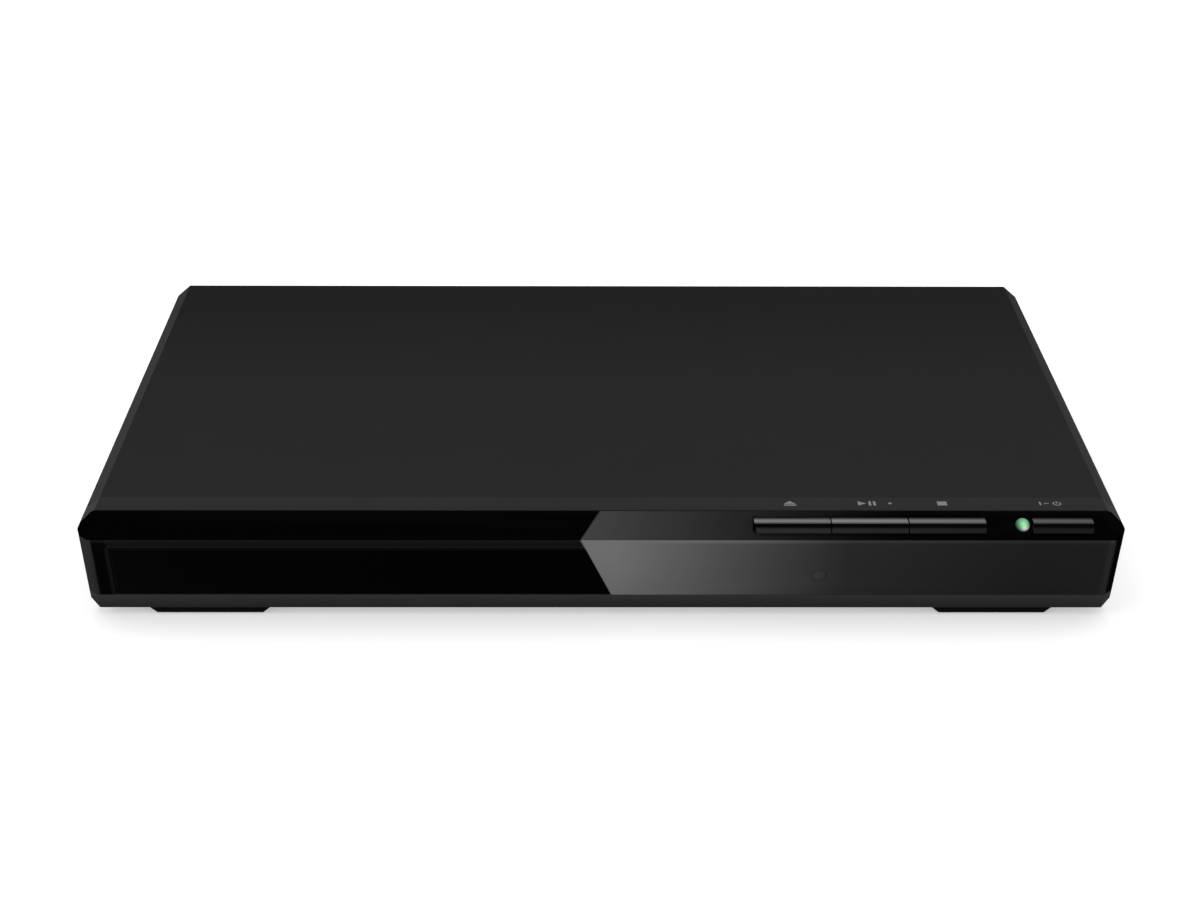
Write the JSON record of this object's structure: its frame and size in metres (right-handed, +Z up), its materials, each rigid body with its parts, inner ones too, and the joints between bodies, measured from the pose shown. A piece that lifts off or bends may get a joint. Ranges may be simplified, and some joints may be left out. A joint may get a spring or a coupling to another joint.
{
  "type": "disc player",
  "caption": "Slim flat disc player with a sloped glossy front, a motorised drawer tray, small bar buttons, a green power lamp and rear sockets.",
  "frame": {"origin": "on the resting surface, in the middle of the object's outer box", "axes": "+Z up, +X to the right seen from the front, front faces -Y"},
  "size_m": [0.32, 0.209, 0.0385],
  "materials": {
    "cover_paint": "fine-grained matt black powder coat",
    "pan_steel": "matt black coated steel",
    "rear_steel": "matt black coated steel",
    "bezel_plastic": "finely grained moulded black plastic",
    "window_gloss": "polished black with a grey printed field on the right",
    "door_gloss": "polished black",
    "foot_plastic": "moulded black plastic",
    "pad_rubber": "soft dark rubber",
    "screw_black": "black zinc",
    "screw_zinc": "bright zinc",
    "key_satin": "satin metallic top edge on a dark body",
    "lamp_green": "lit green light guide",
    "remote_lens": "dark infrared filter",
    "board_green": "solder-masked circuit board",
    "board_tan": "paper-based circuit board",
    "switch_grey": "moulded switch",
    "tray_plastic": "finely grained dark grey plastic",
    "frame_plastic": "natural off-white moulding",
    "gear_acetal": "natural acetal",
    "motor_steel": "plated motor can",
    "sheet_zinc": "zinc-plated sheet",
    "deck_plastic": "black moulding",
    "rod_steel": "ground steel",
    "sled_metal": "die-cast",
    "lens_clear": "coated lens",
    "brass": "plain brass",
    "chip_black": "moulded package",
    "sink_alloy": "extruded",
    "can_sleeve": "sleeved can",
    "sheet_fibre": "insulating sheet",
    "tape_yellow": "taped ferrite transformer",
    "fuse_glass": "glass fuse in clips",
    "socket_black": "moulded black",
    "jack_nickel": "nickel",
    "jack_colour": "coloured inserts",
    "cable_white": "flat cable",
    "wire_red": "insulated wires"
  },
  "bodies": {
    "casing": {"bottom_pan": "pan_steel", "top_cover": "cover_paint", "rear_panel": "rear_steel", "front_bezel": "bezel_plastic", "front_window": "window_gloss", "feet": "foot_plastic", "foot_pads": "pad_rubber", "cover_screws": "screw_black", "power_lamp": "lamp_green", "remote_lens": "remote_lens", "front_board": "board_green", "push_switches": "switch_grey", "remote_receiver": "remote_lens", "loader_frame": "frame_plastic", "loader_screws": "screw_zinc", "loading_motor": "motor_steel", "drive_belt": "pad_rubber", "loader_board": "board_green", "clamp_bridge": "sheet_zinc", "main_board": "board_green", "main_chips": "chip_black", "heat_sink": "sink_alloy", "main_capacitors": "can_sleeve", "board_standoffs": "screw_zinc", "board_screws": "screw_zinc", "power_board": "board_tan", "insulator_sheet": "sheet_fibre", "transformer": "tape_yellow", "power_capacitors": "can_sleeve", "mains_fuse": "fuse_glass", "mains_inlet": "socket_black", "jack_block": "socket_black", "jack_barrels": "jack_nickel", "jack_inserts": "jack_colour", "video_socket": "jack_nickel", "flat_cables": "cable_white", "power_harness": "wire_red"},
    "tray": {"disc_tray": "tray_plastic", "tray_door": "door_gloss"},
    "rack_gear": {"tray_gear": "gear_acetal"},
    "pulley": {"pulley_gear": "gear_acetal"},
    "drive_pulley": {"motor_pulley": "gear_acetal"},
    "slider": {"cam_slider": "gear_acetal"},
    "deck": {"lift_frame": "deck_plastic", "deck_dampers": "pad_rubber", "deck_plate": "sheet_zinc", "deck_screws": "screw_zinc", "spindle_motor": "motor_steel", "guide_rods": "rod_steel", "sled_motor": "motor_steel"},
    "spindle": {"turntable": "deck_plastic"},
    "puck": {"clamp_puck": "deck_plastic"},
    "sled": {"pickup_sled": "sled_metal"},
    "lens": {"objective_lens": "lens_clear"},
    "sled_wheel": {"sled_gear": "gear_acetal"},
    "sled_drive": {"sled_pinion": "brass"},
    "eject_key": {"eject_button": "key_satin"},
    "play_key": {"play_button": "key_satin"},
    "stop_key": {"stop_button": "key_satin"},
    "power_key": {"power_button": "key_satin"}
  },
  "joints": [
    {"name": "tray_slide", "type": "slide", "parent": "casing", "child": "tray", "axis": [0, -1, 0], "range_m": [0, 0.14]},
    {"name": "tray_gear_turn", "type": "hinge", "parent": "casing", "child": "rack_gear", "pos_m": [-0.13085, -0.073, 0.012], "axis": [0, 0, 1], "range_deg": [0, 1147]},
    {"name": "pulley_gear_turn", "type": "hinge", "parent": "casing", "child": "pulley", "pos_m": [-0.1117, -0.073, 0.012], "axis": [0, 0, 1], "range_deg": [-2484, 0]},
    {"name": "motor_pulley_turn", "type": "hinge", "parent": "casing", "child": "drive_pulley", "pos_m": [-0.0637, -0.077, 0.016], "axis": [0, 0, 1], "range_deg": [-8278, 0]},
    {"name": "deck_turn", "type": "hinge", "parent": "casing", "child": "deck", "pos_m": [-0.077, 0.046, 0.014], "axis": [1, 0, 0], "range_deg": [-3.8, 0]},
    {"name": "cam_slide", "type": "slide", "parent": "casing", "child": "slider", "axis": [1, 0, 0], "range_m": [0, 0.02]},
    {"name": "spindle_spin", "type": "hinge", "parent": "deck", "child": "spindle", "pos_m": [-0.077, -0.02823, 0.01508], "axis": [0, -0.0663, 0.9978], "continuous": true},
    {"name": "puck_spin", "type": "hinge", "parent": "casing", "child": "puck", "pos_m": [-0.077, -0.028, 0.026], "axis": [0, 0, 1], "continuous": true},
    {"name": "sled_slide", "type": "slide", "parent": "deck", "child": "sled", "axis": [0, 0.9978, 0.0663], "range_m": [0, 0.036]},
    {"name": "sled_gear_turn", "type": "hinge", "parent": "deck", "child": "sled_wheel", "pos_m": [-0.11275, 0.00589, 0.01434], "axis": [0, -0.0663, 0.9978], "range_deg": [0, 574]},
    {"name": "sled_pinion_turn", "type": "hinge", "parent": "deck", "child": "sled_drive", "pos_m": [-0.11275, -0.00623, 0.01354], "axis": [0, -0.0663, 0.9978], "range_deg": [-1720, 0]},
    {"name": "lens_focus", "type": "slide", "parent": "sled", "child": "lens", "axis": [0, -0.0663, 0.9978], "range_m": [-0.0005, 0.0005], "stiffness_N_per_m": 40},
    {"name": "eject_press", "type": "slide", "parent": "casing", "child": "eject_key", "axis": [0, 1, 0], "range_m": [0, 0.0005], "stiffness_N_per_m": 400, "springref_m": -0.0002},
    {"name": "play_press", "type": "slide", "parent": "casing", "child": "play_key", "axis": [0, 1, 0], "range_m": [0, 0.0005], "stiffness_N_per_m": 400, "springref_m": -0.0002},
    {"name": "stop_press", "type": "slide", "parent": "casing", "child": "stop_key", "axis": [0, 1, 0], "range_m": [0, 0.0005], "stiffness_N_per_m": 400, "springref_m": -0.0002},
    {"name": "power_press", "type": "slide", "parent": "casing", "child": "power_key", "axis": [0, 1, 0], "range_m": [0, 0.0005], "stiffness_N_per_m": 400, "springref_m": -0.0002}
  ],
  "couplings": [
    {"joint": "tray_gear_turn", "follows": "tray_slide", "rad_per_m": 142.86},
    {"joint": "pulley_gear_turn", "follows": "tray_slide", "rad_per_m": -309.52},
    {"joint": "motor_pulley_turn", "follows": "tray_slide", "rad_per_m": -1031.7},
    {"joint": "cam_slide", "follows": "deck_turn", "m_per_rad": -0.30156},
    {"joint": "puck_spin", "follows": "spindle_spin", "ratio": 1},
    {"joint": "sled_gear_turn", "follows": "sled_slide", "rad_per_m": 277.78},
    {"joint": "sled_pinion_turn", "follows": "sled_slide", "rad_per_m": -833.33}
  ]
}
